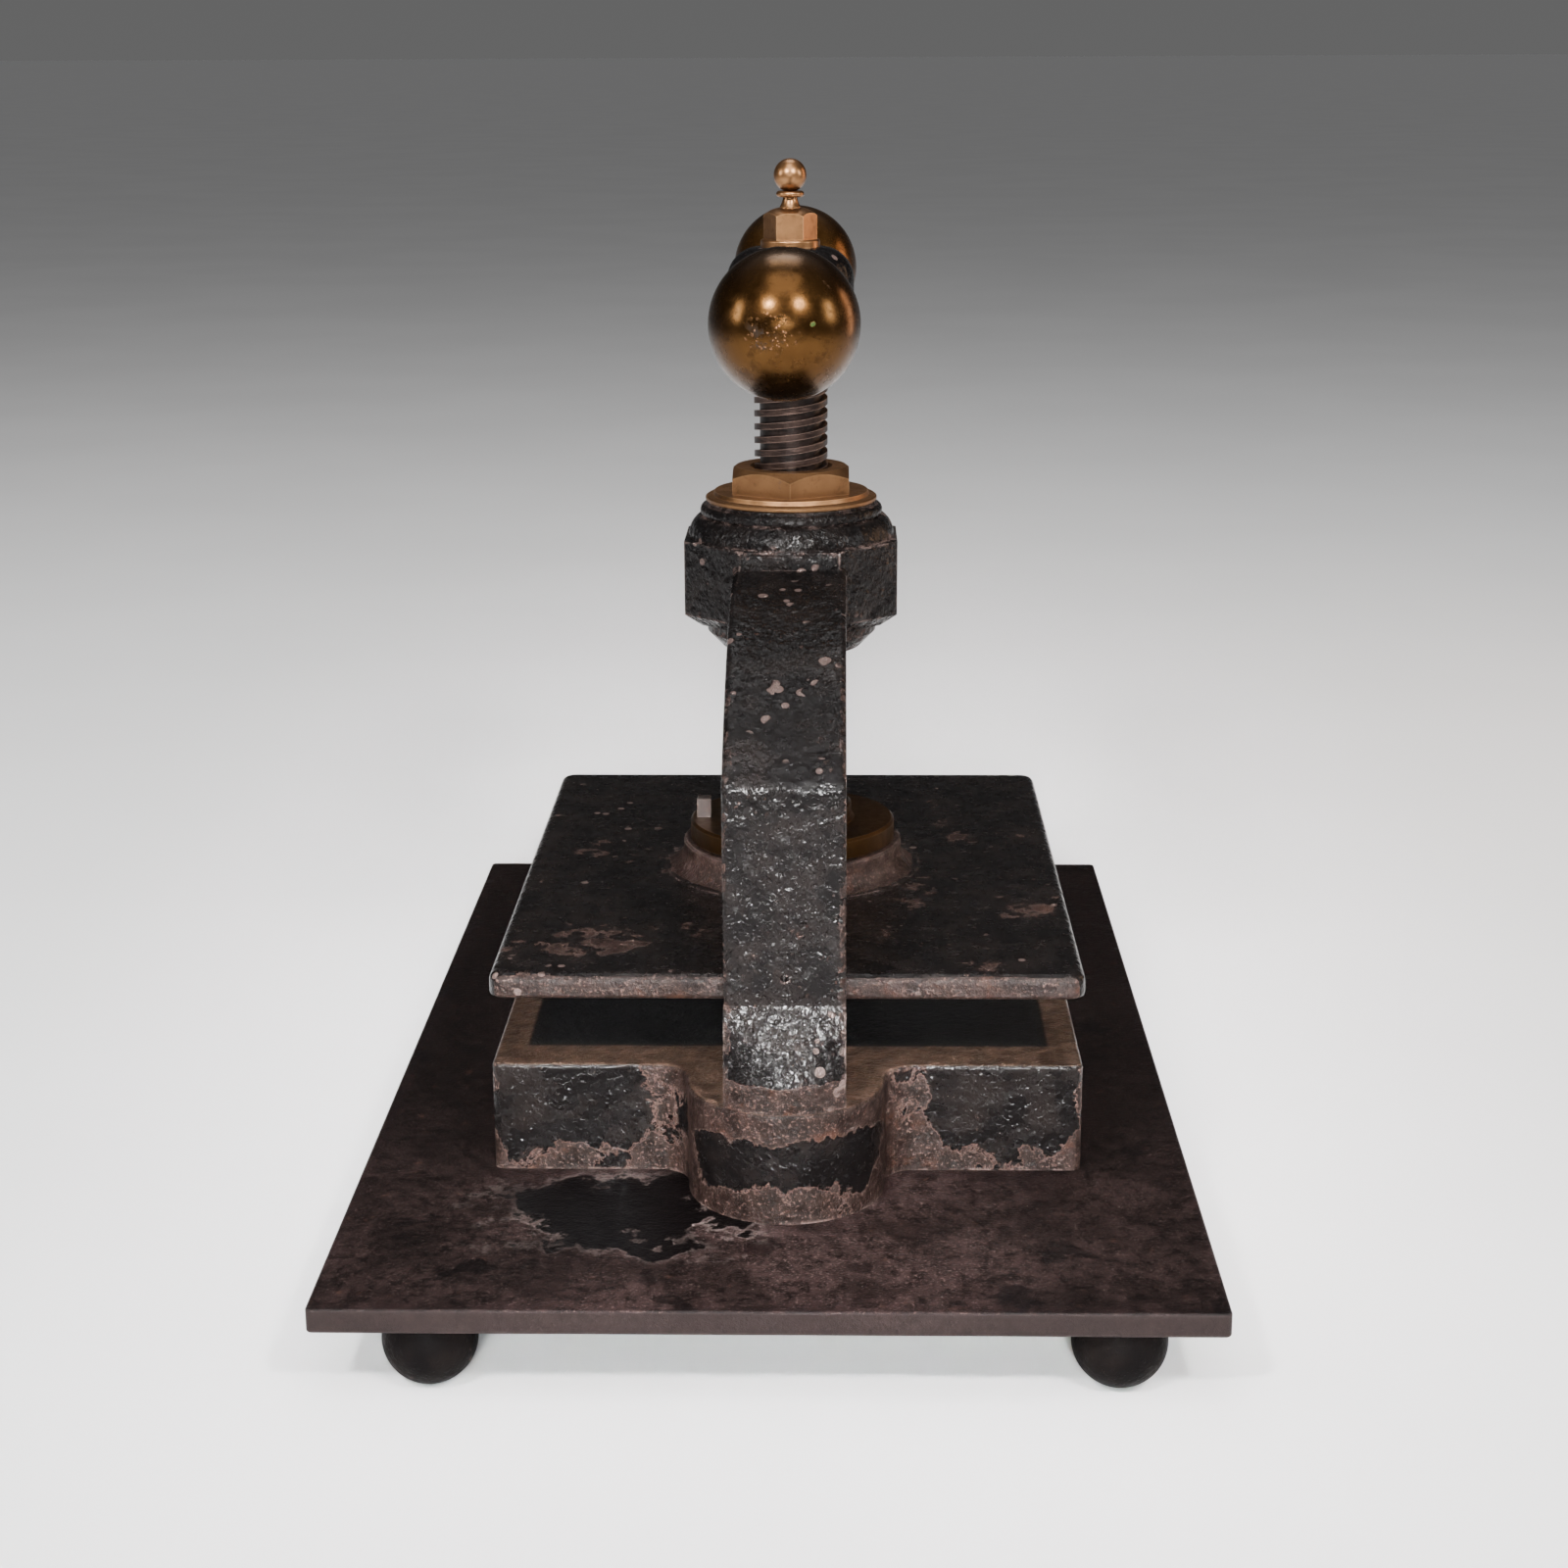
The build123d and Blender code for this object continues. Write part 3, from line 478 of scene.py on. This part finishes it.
def screw_steel(name):
    """Oiled steel screw, brown with dried grease in the thread, bright on the crests."""
    s = Shader(name)
    turned = s.noise(200.0, 4.0, 0.6, 0.0, s.mapped((0.5, 0.5, 6.0)))
    cloud = s.noise(90.0, 5.0, 0.65, 0.3)
    crest = s.ramp(s.length(s.across(), s.axis("Y")), 0.0150, 0.0165)
    grease = s.mix(s.ramp(cloud, 0.35, 0.68), *THREAD_GREASE)
    land = s.mix(s.ramp(cloud, 0.35, 0.68), *THREAD_LAND)
    land = s.mix(s.ramp(turned, 0.52, 0.70, 0.0, 0.6), land, THREAD_STREAK)
    colour = s.mix(crest, grease, land)
    colour = s.mix(s.times(s.edges(0.0006), crest, 0.7), colour, THREAD_EDGE)
    rough = s.ramp(cloud, 0.3, 0.7, 0.32, 0.50)
    height = s.add(s.times(turned, 0.20), s.times(s.noise(700.0, 3.0, 0.6), 0.12))
    return s.finish(colour, rough, 0.75, s.bump(height, 0.0005))


STEEL_SPECK = (0.070, 0.032, 0.018)
STEEL_EDGE = (0.190, 0.150, 0.130)


def small_steel(name, dark, light, rough_low=0.38, rough_high=0.6, metal=0.8):
    """Small steel fasteners: dull, stained, with wear on their corners."""
    s = Shader(name)
    cloud = s.noise(160.0, 5.0, 0.65, 0.4)
    speck = s.noise(800.0, 3.0, 0.6)
    colour = s.mix(s.ramp(cloud, 0.35, 0.68), dark, light)
    colour = s.mix(s.ramp(speck, 0.60, 0.74, 0.0, 0.7), colour, STEEL_SPECK)
    colour = s.mix(s.times(s.edges(0.0006), 0.6), colour, STEEL_EDGE)
    height = s.add(s.times(cloud, 0.25), s.times(speck, 0.15))
    rough = s.ramp(cloud, 0.3, 0.7, rough_low, rough_high)
    return s.finish(colour, rough, metal, s.bump(height, 0.0005))


def dress(names, material):
    """Give every face of some CAD nodes one material."""
    for name in names:
        obj = nodes[name]
        if obj.material_slots:
            for slot in obj.material_slots:
                slot.material = material
        else:
            obj.data.materials.append(material)


bed_iron = painted_iron("bed_iron", bed_bias, bare=0.25, speckle=0.3, flakes=0.0, offset=(0.31, 0.07, 0.22),
                        lump=0.9, bed_top=True)
arch_iron = painted_iron("arch_iron", arch_bias, bare=0.05, speckle=0.8, flakes=0.6, offset=(1.3, 0.4, 0.9),
                         lump=1.4)
platen_iron = painted_iron("platen_iron", platen_bias, bare=0.25, speckle=0.9, flakes=0.3,
                           offset=(2.2, 3.4, 1.1), lump=0.8)
handle_iron = painted_iron("handle_iron", bare=0.3, speckle=0.4, offset=(4.0, 1.0, 2.0), lump=0.6)
foot_iron = painted_iron("foot_iron", bare=0.2, speckle=0.4, flakes=0.0, offset=(7.0, 2.0, 5.0), gloss=0.5,
                         lump=0.5, shine=0.02)
near_brass = aged_brass("ball_brass_near", (0.5, 0.2, 0.7), stain=0.4, marks=True)
far_brass = aged_brass("ball_brass_far", (2.5, 4.2, 1.7), tone=1.9)
nut_brass = aged_brass("nut_brass", (1.5, 0.8, 3.7), COPPERY_BRASS, tone=1.35, stain=0.9, satin=0.42)
collar_brass = aged_brass("collar_brass", (3.5, 0.3, 2.2), tone=0.6, stain=1.1, satin=0.40)
cap_brass = aged_brass("cap_brass", (6.5, 1.8, 0.7), COPPERY_BRASS, tone=2.0, satin=0.32)
bolt_steel = small_steel("bolt_steel", (0.010, 0.0072, 0.0066), (0.030, 0.0215, 0.0190))
inner_steel = small_steel("inner_steel", (0.07, 0.065, 0.062), (0.14, 0.13, 0.125), 0.28, 0.45, 0.95)

dress(["base_plate"], plate_iron("plate_iron"))
dress(["bed"], bed_iron)
dress(["arch_frame"], arch_iron)
dress(["platen"], platen_iron)
dress(["handle_arm"], handle_iron)
dress(["foot_front_left", "foot_front_right", "foot_back_left", "foot_back_right"], foot_iron)
dress(["handle_ball_near"], near_brass)
dress(["handle_ball_far"], far_brass)
dress(["screw_nut"], nut_brass)
dress(["platen_collar"], collar_brass)
dress(["cap_nut", "finial", "hub_washer"], cap_brass)
dress(["press_screw"], screw_steel("screw_steel"))
dress(["collar_bolts", "arch_bolts", "arch_bolt_washers", "bed_screws", "nut_grub_screw"], bolt_steel)
dress(["thrust_collar", "thrust_pin", "thrust_pad"], inner_steel)

# ---------------------------------------------------------------- stage

FLOOR_SIZE = 240.0
FLOOR_GREYS = ((0.76, 0.76, 0.765), (0.785, 0.785, 0.79))


def floor():
    """Plain pale floor, matt, with a faint unevenness."""
    s = Shader("pale_floor")
    tone = s.noise(3.0, 3.0, 0.5)
    colour = s.mix(s.ramp(tone, 0.3, 0.7), *FLOOR_GREYS)
    material = s.finish(colour, s.ramp(tone, 0.3, 0.7, 0.80, 0.90), shine=0.1)
    mesh = bpy.data.meshes.new("floor")
    half = FLOOR_SIZE / 2
    corners = [(-half, -half, 0), (half, -half, 0), (half, half, 0), (-half, half, 0)]
    mesh.from_pydata(corners, [], [(0, 1, 2, 3)])
    mesh.materials.append(material)
    obj = bpy.data.objects.new("floor", mesh)
    bpy.context.scene.collection.objects.link(obj)


def soft_light(name, place, aim, size, power, colour=(1, 1, 1)):
    """Add a rectangular area light at a place, aimed at a point, and return its settings."""
    light = bpy.data.lights.new(name, "AREA")
    light.shape = "RECTANGLE"
    light.size, light.size_y = size
    light.energy = power
    light.color = colour
    obj = bpy.data.objects.new(name, light)
    obj.location = place
    obj.rotation_euler = (Vector(aim) - Vector(place)).to_track_quat("-Z", "Y").to_euler()
    bpy.context.scene.collection.objects.link(obj)
    return light


# Each row is the sine of an elevation, and the grey level there.
ROOM_LEVELS = ((0.0, 0.132), (0.05, 0.128), (0.16, 0.035), (0.52, 0.035), (0.72, 0.28))


def room():
    """Grey walls low down that darken above the horizon, under a soft pale ceiling."""
    world = bpy.data.worlds.new("room")
    world.use_nodes = True
    tree = world.node_tree
    direction = tree.nodes.new("ShaderNodeTexCoord")
    split = tree.nodes.new("ShaderNodeSeparateXYZ")
    ramp = tree.nodes.new("ShaderNodeValToRGB")
    tree.links.new(direction.outputs["Generated"], split.inputs[0])
    tree.links.new(split.outputs["Z"], ramp.inputs[0])
    tree.links.new(ramp.outputs[0], tree.nodes["Background"].inputs["Color"])
    stops = ramp.color_ramp.elements
    stops.remove(stops[1])
    for height, grey in ROOM_LEVELS:
        stop = stops.new(height) if height else stops[0]
        stop.color = (grey, grey, grey, 1)
    bpy.context.scene.world = world


KEY_POWER = 52
KEY_SIZE = (0.20, 0.20)
KICKER_SPREAD = math.radians(13)


def studio():
    """Two small keys high in front, two gridded kickers on the arch, and soft panels all round."""
    centre = (PRESS_X, 0, 0.2)
    soft_light("key_left", (-0.62, -1.42, 1.38), centre, KEY_SIZE, KEY_POWER, (1.0, 0.99, 0.98))
    soft_light("key_right", (0.66, -1.42, 1.38), centre, KEY_SIZE, KEY_POWER, (1.0, 0.98, 0.96))
    kicker = soft_light("kicker", (0.0, -2.0, 0.70), (PRESS_X, -0.2, 0.13), (0.5, 0.2), 3.2)
    low_kicker = soft_light("low_kicker", (0.0, -2.1, 0.34), (PRESS_X, -0.2, 0.15), (0.8, 0.16), 0.22)
    for grid in (kicker, low_kicker):
        grid.spread = KICKER_SPREAD
    soft_light("front_panel", (0.0, -2.4, 0.60), centre, (1.2, 0.3), 12)
    soft_light("overhead", (0, -1.0, 2.4), (0, -0.5, 0), (1.5, 1.5), 42)
    soft_light("ceiling", (0, 0.75, 2.2), (0, 0, 0.3), (0.9, 0.9), 15)
    soft_light("side_left", (-1.5, -0.5, 0.85), centre, (0.3, 0.6), 12)
    soft_light("side_right", (1.5, -0.5, 0.85), centre, (0.3, 0.6), 12)
    soft_light("rim_right", (1.25, 0.55, 0.55), centre, (0.3, 0.9), 5, (1.0, 0.62, 0.38))


CAMERA_PLACE = (0.02634, -1.19463, 0.50169)
CAMERA_TURN = (15.59, 1.199, -0.253)
CAMERA_LENS = 60.75
CAMERA_SENSOR = 36.0
CAMERA_REACH = 400


def camera():
    """Camera at the photograph's angle, turned by a pitch, yaw and roll in degrees."""
    pitch, yaw, roll = (math.radians(angle) for angle in CAMERA_TURN)
    forward = Vector((-math.sin(yaw) * math.cos(pitch), math.cos(yaw) * math.cos(pitch), -math.sin(pitch)))
    level = Vector((math.cos(yaw), math.sin(yaw), 0))
    upright = level.cross(forward)
    right = level * math.cos(roll) + upright * math.sin(roll)
    up = upright * math.cos(roll) - level * math.sin(roll)
    data = bpy.data.cameras.new("camera")
    data.sensor_width = CAMERA_SENSOR
    data.lens = CAMERA_LENS
    data.clip_end = CAMERA_REACH
    obj = bpy.data.objects.new("camera", data)
    turn = Matrix((right, up, -forward)).transposed().to_4x4()
    obj.matrix_world = Matrix.Translation(CAMERA_PLACE) @ turn
    bpy.context.scene.collection.objects.link(obj)
    bpy.context.scene.camera = obj


floor()
room()
studio()
camera()
